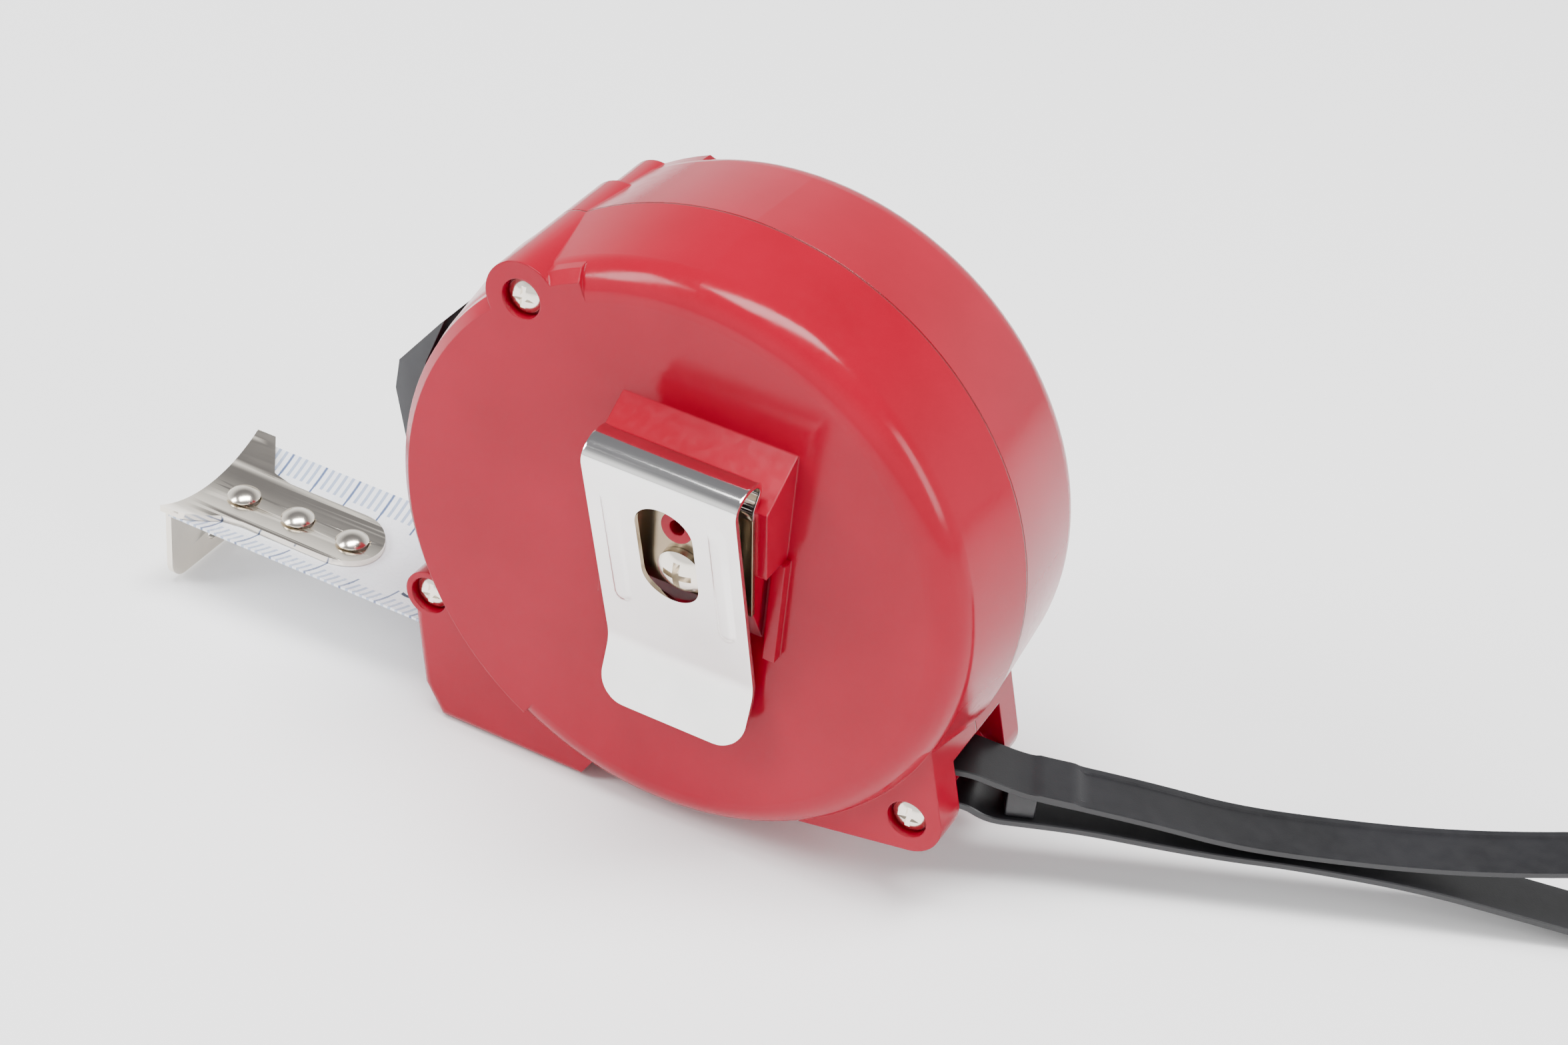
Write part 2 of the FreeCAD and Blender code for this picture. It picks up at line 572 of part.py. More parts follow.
lip = Part.makeBox(sheet_t, 2 * lip_half, lip_height, Vector(front - sheet_t, -lip_half, lip_low))
corner_edges = [edge for edge in lip.Edges
                if edge.BoundBox.ZMax < lip_low + 0.01 and edge.BoundBox.XLength > 0.1]
lip = lip.makeFillet(lip_r, corner_edges)
above = Part.makeCylinder(cup - high, 4, Vector(front - 2, 0, cup_centre_z), Vector(1, 0, 0))
lip_hole = Part.makeCylinder(1.1, 4, Vector(front - 2, -0.6, 3.4), Vector(1, 0, 0))
lip = lip.cut(above).cut(lip_hole)
hook_shape = plate.fuse(lip)
slot_r, slide_room = shank_r + 0.08, 1.0
for x in rivet_x:
    for centre in (x, x + slide_room):
        hook_shape = hook_shape.cut(Part.makeCylinder(slot_r, 8, Vector(centre, 0, 4)))
    hook_shape = hook_shape.cut(Part.makeBox(slide_room, 2 * slot_r, 8, Vector(x, -slot_r, 4)))
solid_node("end_hook", hook_shape.removeSplitter())

rivets = []
top = hook_floor + play + sheet_t + 0.28
for x in rivet_x:
    dome = Part.makeSphere(2.9, Vector(x, 0, top - 1.9))
    dome = dome.common(Part.makeCylinder(head_r, 1.2, Vector(x, 0, top)))
    shank = Part.makeCylinder(shank_r, top - hook_floor + 1.0, Vector(x, 0, hook_floor - 0.95))
    foot_head = Part.makeCylinder(1.7, 0.5, Vector(x, 0, hook_floor - thick - 0.52))
    rivets.append(dome.fuse(shank).fuse(foot_head).removeSplitter())
solid_node("hook_rivets", Part.makeCompound(rivets))

# Lock: a thumb button on the front wall, and the brake arm that it works.
button = new_body("lock_button")
thumb = new_sketch(button, "button_thumb", "XZ_Plane", "-5.2")
outline(thumb, [("-34.7", "49.6"), ("-39.9", "42.9"), ("-40.3", "39.0"), ("-38.6", "32.2"), ("-37.4", "32.2"),
                ("-37.15", "38.0"), ("-36.3", "44.0"), ("-34.0", "50.4")])
feature(button, "Pad", thumb, "10.4", False)
neck_sketch = new_sketch(button, "button_neck", "XZ_Plane", "-3.4")
outline(neck_sketch, [("-38.2", "38.6"), ("-38.0", "42.6"), ("-29.6", "41.2"), ("-29.9", "38.0")])
feature(button, "Pad", neck_sketch, "6.8", False)
tongue = new_sketch(button, "button_tongue", "XZ_Plane", "-3.4")
outline(tongue, [("-31.9", "34.4"), ("-31.8", "42.0"), ("-29.6", "41.6"), ("-29.8", "34.4")])
feature(button, "Pad", tongue, "6.8", False)

arm = new_body("brake_arm")
arm_side = new_sketch(arm, "arm_side", "XZ_Plane", "- brake_arm_half")
outline(arm_side, [("-27.6", "26.2"), ("-26.2", "26.2"), ("-23.4", "20.2"), ("-19.8", "18.8"),
                   ("-19.6", "15.6"), ("-24.4", "12.5"), ("-27.4", "12.5")])
feature(arm, "Pad", arm_side, "brake_arm_half + brake_arm_half", False)
arm_bore = new_sketch(arm, "arm_bore", "XZ_Plane", "-20")
circle(arm_bore, "- brake_pin_x", "brake_pin_z", "1.06")
feature(arm, "Pocket", arm_bore, "40", True)
brake_pad = new_body("brake_pad")
pad_end = new_sketch(brake_pad, "pad_end", "YZ_Plane", "-27.3")
outline(pad_end, [("- brake_arm_half", "brake_pad_low"), ("-5.8", "brake_pad_low"), ("-5.8", "11.9"),
                  ("5.8", "11.9"), ("5.8", "brake_pad_low"), ("brake_arm_half", "brake_pad_low"),
                  ("brake_arm_half", "12.5"), ("- brake_arm_half", "12.5")])
feature(brake_pad, "Pad", pad_end, "2.5", False)
pin = part_object("Cylinder", "brake_pin", Radius="1.0", Height="brake_room_half + brake_room_half + 2.0")
pin.Label = "brake_pin"
pin_start = Vector(-value("brake_pin_x"), -value("brake_room_half + 1.0"), value("brake_pin_z"))
pin.Placement = Placement(pin_start, Rotation(Vector(1, 0, 0), -90))
NODES.append(pin)
for shell in (near, far):
    is_near = shell is near
    seat = new_sketch(shell, f"{shell.Name}_pin_seat")
    circle(seat, "- brake_pin_x", "brake_pin_z", "1.0")
    feature(shell, "Pocket", seat, "brake_room_half + 1.0", is_near)

leaf = new_body("detent_spring")
leaf_side = new_sketch(leaf, "leaf_side", "XZ_Plane", "-2.5")
outline(leaf_side, [("-30.2", "24.6"), ("-29.9", "24.7"), ("-30.3", "28.4"), ("-31.2", "31.6"),
                    ("-31.5", "31.6"), ("-30.7", "28.4")])
feature(leaf, "Pad", leaf_side, "5.0", False)
guide = part_object("Box", "mouth_guide", Length="12.0", Width="mouth_half + mouth_half - 0.2", Height="1.4")
guide.Label = "mouth_guide"
guide.Placement = Placement(Vector(-32.2, -value("mouth_half - 0.1"), value("mouth_low")), Rotation())
NODES.append(guide)

bumper = part_object("Box", "hook_bumper", Length="3.8", Width="8.0", Height="2.6")
bumper.Label = "hook_bumper"
bumper.Placement = Placement(Vector(-34.2, -4.0, 3.6), Rotation())
NODES.append(bumper)
for shell in (near, far):
    is_near = shell is near
    seat = new_sketch(shell, f"{shell.Name}_bumper_seat")
    rectangle(seat, "-40", "-30.4", "3.6", "6.2")
    feature(shell, "Pocket", seat, "4.0", is_near)

# Blank label disc on the far face.
solid_node("label_disc", along_y(24.0, 0.3, 0, value("far_depth"), axis_z))

# Wrist strap: a flat moulded loop through the lug, in an upright plane turned by strap_yaw.
STRAP_ROUTE = [  # distance from the lug post along the strap, height above the post's centre
    (5.0, 1.15), (9.0, -0.1), (16.0, -1.0), (24.0, -2.2), (32.0, -3.7), (40.0, -4.2), (54.0, -4.1),
    (66.0, -2.9), (80.0, -0.4), (97.0, 1.6), (98.0, -12.5), (80.0, -12.2), (66.0, -9.3),
    (54.0, -6.9), (40.0, -5.8), (32.0, -5.7), (24.0, -5.1), (16.0, -4.3), (9.0, -4.2), (5.0, -4.2)]


def rounded_path(points, start, end):
    """Straight runs joined by tangent arcs, each as large as its two runs allow."""
    corners = [Vector(u, 0, z) for u, z in points]
    chain = [start] + corners + [end]
    edges, radii, here = [], [], start
    for before, corner, after in zip(chain, chain[1:], chain[2:]):
        run_in, run_out = corner - before, after - corner
        turn = run_in.getAngle(run_out)
        cut_back = 0.45 * min(run_in.Length, run_out.Length)
        radii.append(cut_back / math.tan(turn / 2))
        first = corner - Vector(run_in).normalize() * cut_back
        last = corner + Vector(run_out).normalize() * cut_back
        inward = (first + last) * 0.5 - corner
        middle = corner + inward.normalize() * (radii[-1] / math.cos(turn / 2) - radii[-1])
        edges.append(Part.makeLine(here, first))
        edges.append(Part.Arc(first, middle, last).toShape())
        here = last
    edges.append(Part.makeLine(here, end))
    return edges, radii


strap_t, strap_w = value("strap_thickness"), value("strap_width")
turn_r = value("strap_post_radius") + 0.1 + strap_t / 2
top_of_post, foot_of_post = Vector(1.9, 0, turn_r), Vector(1.9, 0, -turn_r)
back = -value("strap_back")
edges, strap_radii = rounded_path(STRAP_ROUTE, top_of_post, foot_of_post)
centre_line = Part.Wire(edges)
around = [Part.makeLine(foot_of_post, Vector(back, 0, -turn_r)),
          Part.Arc(Vector(back, 0, -turn_r), Vector(back - turn_r, 0, 0), Vector(back, 0, turn_r)).toShape(),
          Part.makeLine(Vector(back, 0, turn_r), top_of_post)]
loop = Part.Wire(edges + around)
outer_loop = loop.makeOffset2D(strap_t / 2)
inner_loop = loop.makeOffset2D(-strap_t / 2)
if outer_loop.BoundBox.DiagonalLength < inner_loop.BoundBox.DiagonalLength:
    outer_loop, inner_loop = inner_loop, outer_loop
band = Part.Face(Part.Wire(outer_loop.Edges)).cut(Part.Face(Part.Wire(inner_loop.Edges)))
strap_solid = band.extrude(Vector(0, strap_w, 0))
print("strap length", round(loop.Length, 1), "radii", [round(r, 1) for r in strap_radii],
      "volume ratio", round(abs(strap_solid.Volume) / (loop.Length * strap_t * strap_w), 3))
strap = solid_node("wrist_strap", strap_solid)
lug_frame = Placement(Vector(value("lug_screw_x"), 0, value("lug_screw_z")),
                      Rotation(Vector(0, 0, 1), value("strap_yaw")))
strap.Placement = lug_frame.multiply(Placement(Vector(0, -strap_w / 2, 0), Rotation()))
keeper = solid_node("strap_keeper", Part.makeBox(3.4, 5.6, 2.4, Vector(6.8, -2.8, -3.4)))
keeper.Placement = lug_frame

doc.recompute()
for item in doc.Objects:
    if any(mark in item.State for mark in ("Invalid", "Error")):
        raise RuntimeError(f"{item.Label} failed: {item.State}")
os.makedirs("parts", exist_ok=True)
for node in NODES:
    if node.Shape.isNull() or not node.Shape.isValid():
        raise RuntimeError(f"{node.Label} has no valid shape")
    node.Shape.exportStep(f"parts/{node.Label}.step")
    print(f"{node.Label:26s} volume {node.Shape.Volume:10.2f} solids {len(node.Shape.Solids)}")
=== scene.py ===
"""Looks of the pocket tape measure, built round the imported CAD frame."""

import math
import random

import bmesh
import bpy
from mathutils import Matrix, Vector


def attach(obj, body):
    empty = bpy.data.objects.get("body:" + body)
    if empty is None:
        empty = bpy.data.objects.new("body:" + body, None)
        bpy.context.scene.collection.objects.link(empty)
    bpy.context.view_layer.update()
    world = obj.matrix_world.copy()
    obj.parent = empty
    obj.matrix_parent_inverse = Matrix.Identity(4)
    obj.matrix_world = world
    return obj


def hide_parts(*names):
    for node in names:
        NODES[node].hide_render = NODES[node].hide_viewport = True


random.seed(7)
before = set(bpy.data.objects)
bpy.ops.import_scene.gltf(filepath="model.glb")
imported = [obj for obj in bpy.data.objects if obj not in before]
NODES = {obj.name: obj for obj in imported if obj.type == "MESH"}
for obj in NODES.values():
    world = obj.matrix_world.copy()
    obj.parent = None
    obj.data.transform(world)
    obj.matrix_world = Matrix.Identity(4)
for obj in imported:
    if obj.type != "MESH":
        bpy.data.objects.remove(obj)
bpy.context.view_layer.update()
MM = 0.001
BLADE_FRONT, BLADE_HALF = 69.7, 9.5
scene = bpy.context.scene


def mm(x, y, z):
    """A point given in millimetres, in metres."""
    return Vector((x * MM, y * MM, z * MM))


# ---------------------------------------------------------------- camera, light and floor
def add_camera():
    """The photograph's viewing direction, tilt and lens."""
    a, e, r = (math.radians(v) for v in (24.09, 35.78, 6.71))
    right = Vector((math.cos(a), math.sin(a), 0))
    up = Vector((-math.sin(a) * math.sin(e), math.cos(a) * math.sin(e), math.cos(e)))
    back = Vector((math.sin(a) * math.cos(e), -math.cos(a) * math.cos(e), math.sin(e)))
    x_axis = right * math.cos(r) + up * math.sin(r)
    y_axis = up * math.cos(r) - right * math.sin(r)
    data = bpy.data.cameras.new("camera")
    data.sensor_width = 36
    data.lens = 68.88
    data.clip_start = 0.01
    camera = bpy.data.objects.new("camera", data)
    turn = Matrix((x_axis, y_axis, back)).transposed().to_4x4()
    camera.matrix_world = Matrix.Translation(mm(116.28, -243.84, 229.62)) @ turn
    scene.collection.objects.link(camera)
    scene.camera = camera


def add_area(name, place, aim, size, power):
    """A rectangular lamp that points at a place."""
    data = bpy.data.lights.new(name, "AREA")
    data.shape = "RECTANGLE"
    data.size, data.size_y = size
    data.energy = power
    light = bpy.data.objects.new(name, data)
    light.location = place
    light.rotation_euler = (Vector(aim) - Vector(place)).to_track_quat("-Z", "Y").to_euler()
    scene.collection.objects.link(light)


def add_studio():
    """A white sweep all round, darker overhead so that gloss has something to show, and soft lamps."""
    world = bpy.data.worlds.new("studio")
    scene.world = world
    world.use_nodes = True
    tree = world.node_tree
    backdrop = tree.nodes["Background"]
    place = tree.nodes.new("ShaderNodeTexCoord")
    parts = tree.nodes.new("ShaderNodeSeparateXYZ")
    fall = tree.nodes.new("ShaderNodeMapRange")
    for socket, number in zip(list(fall.inputs)[1:5], (0.30, 0.72, 1.0, 0.0)):
        socket.default_value = number
    blend = tree.nodes.new("ShaderNodeMix")
    blend.data_type = "RGBA"
    blend.inputs[6].default_value = (0.16, 0.16, 0.17, 1)
    blend.inputs[7].default_value = (1.0, 1.0, 1.0, 1)
    tree.links.new(place.outputs["Generated"], parts.inputs[0])
    tree.links.new(parts.outputs[2], fall.inputs[0])
    tree.links.new(fall.outputs[0], blend.inputs["Factor"])
    tree.links.new(blend.outputs[2], backdrop.inputs["Color"])
    backdrop.inputs["Strength"].default_value = 1.45
    add_area("top", (0.05, -0.05, 1.1), (0, 0, 0), (0.9, 0.35), 26)
    add_area("key", (-0.75, -0.55, 0.75), (0, 0, 0.03), (0.35, 0.5), 10)
    add_area("side", (0.9, -0.15, 0.45), (0, 0, 0.04), (0.25, 0.5), 4)
    floor_mesh = bpy.data.meshes.new("floor")
    edit = bmesh.new()
    bmesh.ops.create_grid(edit, x_segments=2, y_segments=2, size=4.0)
    edit.to_mesh(floor_mesh)
    edit.free()
    floor = bpy.data.objects.new("floor", floor_mesh)
    scene.collection.objects.link(floor)
    paper = bpy.data.materials.new("paper")
    paper.use_nodes = True
    shader = paper.node_tree.nodes["Principled BSDF"]
    shader.inputs["Base Color"].default_value = (0.95, 0.95, 0.95, 1)
    shader.inputs["Roughness"].default_value = 0.7
    floor.data.materials.append(paper)


add_camera()
add_studio()


# ---------------------------------------------------------------- materials
class Shade:
    """A node tree under construction, on the object's own coordinates in millimetres."""

    def __init__(self, name):
        self.material = bpy.data.materials.new(name)
        self.material.use_nodes = True
        self.tree = self.material.node_tree
        self.shader = self.tree.nodes["Principled BSDF"]
        place = self.tree.nodes.new("ShaderNodeTexCoord")
        scale = self.tree.nodes.new("ShaderNodeVectorMath")
        scale.operation = "SCALE"
        scale.inputs["Scale"].default_value = 1000.0
        self.tree.links.new(place.outputs["Object"], scale.inputs[0])
        self.place = scale.outputs[0]
        self.bump_link = None

    def put(self, socket, source):
        if isinstance(source, (int, float)):
            socket.default_value = source
        elif isinstance(source, tuple):
            socket.default_value = source if len(source) == 4 or socket.type == "VECTOR" else (*source, 1)
        else:
            self.tree.links.new(source, socket)

    def math(self, kind, a, b=0.0, c=0.0):
        node = self.tree.nodes.new("ShaderNodeMath")
        node.operation = kind
        for socket, source in zip(node.inputs, (a, b, c)):
            self.put(socket, source)
        return node.outputs[0]

    def axes(self):
        node = self.tree.nodes.new("ShaderNodeSeparateXYZ")
        self.tree.links.new(self.place, node.inputs[0])
        return node.outputs

    def stretch(self, x, y, z):
        node = self.tree.nodes.new("ShaderNodeVectorMath")
        node.operation = "MULTIPLY"
        node.inputs[1].default_value = (x, y, z)
        self.tree.links.new(self.place, node.inputs[0])
        return node.outputs[0]

    def noise(self, scale, detail=3.0, rough=0.5, where=None):
        node = self.tree.nodes.new("ShaderNodeTexNoise")
        node.inputs["Scale"].default_value = scale
        node.inputs["Detail"].default_value = detail
        node.inputs["Roughness"].default_value = rough
        self.tree.links.new(where or self.place, node.inputs["Vector"])
        return node.outputs["Fac"]

    def spread(self, source, low, high, to_low=0.0, to_high=1.0):
        node = self.tree.nodes.new("ShaderNodeMapRange")
        for socket, number in zip(list(node.inputs)[1:5], (low, high, to_low, to_high)):
            socket.default_value = number
        self.tree.links.new(source, node.inputs[0])
        return node.outputs[0]

    def mix(self, factor, a, b):
        node = self.tree.nodes.new("ShaderNodeMix")
        node.data_type = "RGBA"
        self.put(node.inputs["Factor"], factor)
        self.put(node.inputs[6], a)
        self.put(node.inputs[7], b)
        return node.outputs[2]

    def bump(self, height, strength, distance):
        node = self.tree.nodes.new("ShaderNodeBump")
        node.inputs["Strength"].default_value = strength
        node.inputs["Distance"].default_value = distance
        self.tree.links.new(height, node.inputs["Height"])
        if self.bump_link:
            self.tree.links.new(self.bump_link, node.inputs["Normal"])
        else:
            self.first_bump = node
        self.bump_link = node.outputs[0]

    def soften(self, radius):
        """Rounded edges in the shading, of this radius in millimetres."""
        node = self.tree.nodes.new("ShaderNodeBevel")
        node.samples = 6
        node.inputs["Radius"].default_value = radius * MM
        self.tree.links.new(node.outputs[0], self.first_bump.inputs["Normal"])

    def done(self, **sockets):
        for name, source in sockets.items():
            self.put(self.shader.inputs[name.replace("_", " ").title().replace("Ior", "IOR")], source)
        if self.bump_link:
            self.tree.links.new(self.bump_link, self.shader.inputs["Normal"])
        return self.material


def moulded(name, dark, light, rough, grain, grain_depth=0.02, **extra):
    """Moulded plastic or rubber: slight colour and gloss variation and a fine surface grain."""
    s = Shade(name)
    colour = s.mix(s.spread(s.noise(0.08, 4), 0.35, 0.65), (*dark, 1), (*light, 1))
    gloss = s.spread(s.noise(0.6, 3), 0.3, 0.7, rough - 0.03, rough + 0.05)
    s.bump(s.noise(grain, 2), 0.25, grain_depth * MM)
    return s.done(base_color=colour, roughness=gloss, **extra)


def plated(name, dark, light, rough, **extra):
    """Plated or bare steel, with faint rolling lines and handling marks."""
    s = Shade(name)
    lines = s.noise(1.0, 4, 0.6, s.stretch(0.25, 6.0, 0.25))
    colour = s.mix(s.spread(s.noise(0.15, 5), 0.3, 0.7), (*dark, 1), (*light, 1))
    marks = s.math("MULTIPLY_ADD", lines, 0.06, rough - 0.03)
    s.bump(lines, 0.12, 0.01 * MM)
    return s.done(base_color=colour, roughness=marks, metallic=1.0, **extra)


def case_red():
    """Glossy red ABS with the dark hairline where the two halves meet."""
    s = Shade("case_red")
    _, y, _ = s.axes()
    away = s.math("ABSOLUTE", y)
    groove = s.spread(away, 0.06, 0.16, 1.0, 0.0)
    body = s.mix(s.spread(s.noise(0.05, 4), 0.3, 0.7), (0.25, 0.0006, 0.012, 1), (0.30, 0.001, 0.017, 1))
    colour = s.mix(groove, body, (0.16, 0.0, 0.004, 1))
    scuffs = s.spread(s.noise(0.9, 6, 0.65), 0.45, 0.75, 0.16, 0.24)
    s.bump(s.noise(0.35, 2), 0.08, 0.05 * MM)
    s.bump(s.math("SUBTRACT", 1.0, groove), 0.6, 0.12 * MM)
    s.soften(0.25)
    return s.done(base_color=colour, roughness=scuffs, specular_ior_level=0.22)


def blade_white():
    """White enamel with a millimetre scale along both edges, longer at every fifth and tenth."""
    s = Shade("blade_white")
    x, y, _ = s.axes()
    along = s.math("ADD", x, BLADE_FRONT)
    inward = s.math("SUBTRACT", BLADE_HALF, s.math("ABSOLUTE", y))

    def ticks(pitch, width, reach):
        phase = s.math("MODULO", s.math("ADD", along, 100.0 + pitch / 2), pitch)
        near = s.math("ABSOLUTE", s.math("SUBTRACT", phase, pitch / 2))
        on_line = s.spread(near, width * 0.5, width * 0.5 + 0.05, 1.0, 0.0)
        return s.math("MULTIPLY", on_line, s.spread(inward, reach, reach + 0.05, 1.0, 0.0))

    fine = ticks(1.0, 0.36, 2.9)
    long = s.math("MAXIMUM", ticks(5.0, 0.2, 4.1), ticks(10.0, 0.2, 5.2))
    marks = s.math("MAXIMUM", fine, long)
    paint = s.mix(s.spread(s.noise(0.2, 4), 0.3, 0.7), (0.78, 0.81, 0.86, 1), (0.84, 0.86, 0.90, 1))
    colour = s.mix(long, s.mix(fine, paint, (0.36, 0.43, 0.58, 1)), (0.10, 0.14, 0.26, 1))
    gloss = s.spread(s.noise(1.5, 4), 0.3, 0.7, 0.24, 0.34)
    s.bump(marks, 0.1, 0.02 * MM)
    return s.done(base_color=colour, roughness=gloss, coat_weight=0.25, coat_roughness=0.15)


RED = case_red()
WHITE = blade_white()
CHROME = plated("clip_chrome", (0.86, 0.85, 0.83), (0.93, 0.92, 0.90), 0.10)
# Painted shade: the clip's base plate behind the leg is coloured dark bronze to stand in for the shadow it
# lies in.
CLIP_BASE_PAINTED_SHADE = plated("clip_base_painted_shade", (0.26, 0.20, 0.13), (0.36, 0.29, 0.20), 0.24)
NICKEL = plated("hook_nickel", (0.78, 0.72, 0.63), (0.88, 0.82, 0.72), 0.18)
STEEL = plated("spring_steel", (0.28, 0.30, 0.34), (0.38, 0.40, 0.44), 0.30)
BLACK = moulded("black_plastic", (0.012, 0.013, 0.016), (0.02, 0.021, 0.025), 0.42, 9.0)
RUBBER = moulded("black_rubber", (0.015, 0.015, 0.015), (0.022, 0.022, 0.022), 0.7, 7.0, 0.04)
VINYL = moulded("strap_vinyl", (0.005, 0.005, 0.006), (0.009, 0.009, 0.011), 0.36, 5.0, 0.03)
FILM = moulded("liner_film", (0.70, 0.72, 0.72), (0.78, 0.79, 0.78), 0.35, 6.0)
LABEL = moulded("label_foil", (0.68, 0.68, 0.68), (0.76, 0.76, 0.75), 0.30, 4.0)
INK = moulded("scale_ink", (0.02, 0.03, 0.06), (0.03, 0.04, 0.08), 0.45, 12.0, 0.005)

FINISHES = {
    RED: ["case_half_clip_side", "case_half_label_side"],
    NICKEL: ["case_screws", "clip_screw", "end_hook", "hook_rivets"],
    CHROME: ["belt_clip"],
    WHITE: ["tape_blade", "tape_coil"],
    STEEL: ["spring_blade_link", "centre_post", "mainspring", "brake_pin", "detent_spring"],
    BLACK: ["reel_drum", "reel_cover", "brake_arm", "mouth_guide", "lock_button"],
    RUBBER: ["brake_pad", "hook_bumper"],
    FILM: ["liner_disc_clip_side", "liner_disc_label_side"],
    VINYL: ["wrist_strap", "strap_keeper"],
    LABEL: ["label_disc"],
}
for finish, names in FINISHES.items():
    for name in names:
        NODES[name].data.materials.clear()
        NODES[name].data.materials.append(finish)


# ---------------------------------------------------------------- mesh helpers
def new_piece(name, vertices, faces, finish, body, stands_for, crease=35):
    """A mesh piece in millimetres that stands for a CAD node."""
    mesh = bpy.data.meshes.new(name)
    mesh.from_pydata([Vector(v) * MM for v in vertices], [], faces)
    mesh.validate()
    return finish_piece(bpy.data.objects.new(name, mesh), finish, body, stands_for, crease)


def outward(mesh):
    """Weld a mesh and turn its faces to point out of the solid."""
    edit = bmesh.new()
    edit.from_mesh(mesh)
    bmesh.ops.remove_doubles(edit, verts=edit.verts, dist=0.002 * MM)
    bmesh.ops.recalc_face_normals(edit, faces=edit.faces)
    edit.to_mesh(mesh)
    edit.free()


def finish_piece(piece, finish, body, stands_for, crease=35):
    if piece.name not in scene.collection.objects:
        scene.collection.objects.link(piece)
    outward(piece.data)
    piece.data.shade_smooth()
    piece.data.set_sharp_from_angle(angle=math.radians(crease))
    piece.data.materials.clear()
    piece.data.materials.append(finish)
    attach(piece, body)
    if stands_for:
        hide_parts(stands_for)
    return piece


def apply_modifiers(piece):
    """Replace a piece's mesh by what its modifiers make of it, and drop them."""
    if piece.name not in scene.collection.objects:
        scene.collection.objects.link(piece)
    bpy.context.view_layer.update()
    result = bpy.data.meshes.new_from_object(piece.evaluated_get(bpy.context.evaluated_depsgraph_get()))
    piece.modifiers.clear()
    piece.data = result


def bevel(piece, width, angle=40, segments=2):
    modifier = piece.modifiers.new("edge", "BEVEL")
    modifier.width = width * MM
    modifier.segments = segments
    modifier.limit_method = "ANGLE"
    modifier.angle_limit = math.radians(angle)
    modifier.use_clamp_overlap = True
    modifier.miter_outer = "MITER_ARC"


def cut_with(piece, outline, low, high):
    """Cut a prism through the piece: its outline is in (X, Z) and it runs from Y = low to high."""
    count = len(outline)
    corners = [(x, y, z) for y in (low, high) for x, z in outline]
    sides = [(i, (i + 1) % count, (i + 1) % count + count, i + count) for i in range(count)]
    mesh = bpy.data.meshes.new("cutter")
    ends = [range(count)[::-1], range(count, 2 * count)]
    mesh.from_pydata([Vector(v) * MM for v in corners], [], sides + ends)
    outward(mesh)
    cutter = bpy.data.objects.new("cutter", mesh)
    scene.collection.objects.link(cutter)
    modifier = piece.modifiers.new("cut", "BOOLEAN")
    modifier.operation = "DIFFERENCE"
    modifier.solver = "EXACT"
    modifier.object = cutter
    apply_modifiers(piece)
    bpy.data.objects.remove(cutter)


def rounded_line(points, cuts, steps=7):
    """A chain of points with each inner corner turned into a smooth bend of its own size."""
    line = [Vector(points[0])]
    for i, cut in zip(range(1, len(points) - 1), cuts):
        before, here, after = (Vector(p) for p in points[i - 1:i + 2])
        reach_in = min(cut, 0.48 * (here - before).length)
        reach_out = min(cut, 0.48 * (after - here).length)
        first = here + (before - here).normalized() * reach_in
        last = here + (after - here).normalized() * reach_out
        for k in range(steps + 1):
            t = k / steps
            line.append(first * (1 - t) ** 2 + here * 2 * t * (1 - t) + last * t * t)
    line.append(Vector(points[-1]))
    return line


def filled_in(line, gap):
    """The same line with points added so that none are further apart than the gap."""
    result = [line[0]]
    for a, b in zip(line, line[1:]):
        parts = max(1, math.ceil((b - a).length / gap))
        result += [a.lerp(b, k / parts) for k in range(1, parts + 1)]
    return result


def smooth_step(low, high, value):
    t = min(1.0, max(0.0, (value - low) / (high - low)))
    return t * t * (3 - 2 * t)


# ---------------------------------------------------------------- wrist strap
LUG = (30.7, 13.2)
YAW = math.radians(24)
TURN = 2.25
STRAP_ROUTE = [
    (-4.05, 0.0), (-4.05, TURN), (1.9, TURN), (5.0, 1.15), (9.0, -0.1), (16.0, -1.0), (24.0, -2.2),
    (32.0, -3.7), (40.0, -4.2), (54.0, -4.1), (66.0, -2.9), (80.0, -0.4), (97.0, 1.6), (98.0, -12.5),
    (80.0, -12.2), (66.0, -9.3), (54.0, -6.9), (40.0, -5.8), (32.0, -5.7), (24.0, -5.1),
    (16.0, -4.3), (9.0, -4.2), (5.0, -4.2), (1.9, -TURN), (-4.05, -TURN), (-4.05, 0.0)]


def strap_point(u, w, z):
    """A point u along the strap, w across it and z above the lug post's centre, in millimetres."""
    return Vector((LUG[0] + u * math.cos(YAW) - w * math.sin(YAW), u * math.sin(YAW) + w * math.cos(YAW),
                   LUG[1] + z))


def strap_line():
    """The strap's centre line: a NURBS spline on the route, read back as points in (u, z)."""
    curve = bpy.data.curves.new("strap_line", "CURVE")
    curve.dimensions = "3D"
    curve.resolution_u = 10
    spline = curve.splines.new("NURBS")
    spline.points.add(len(STRAP_ROUTE) - 1)
    for point, (u, z) in zip(spline.points, STRAP_ROUTE):
        point.co = (u * MM, 0, z * MM, 1)
    spline.order_u = 3
    spline.use_endpoint_u = True
    holder = bpy.data.objects.new("strap_line", curve)
    mesh = bpy.data.meshes.new_from_object(holder)
    line = [Vector((v.co.x / MM, v.co.z / MM)) for v in mesh.vertices]
    bpy.data.objects.remove(holder)
    return line


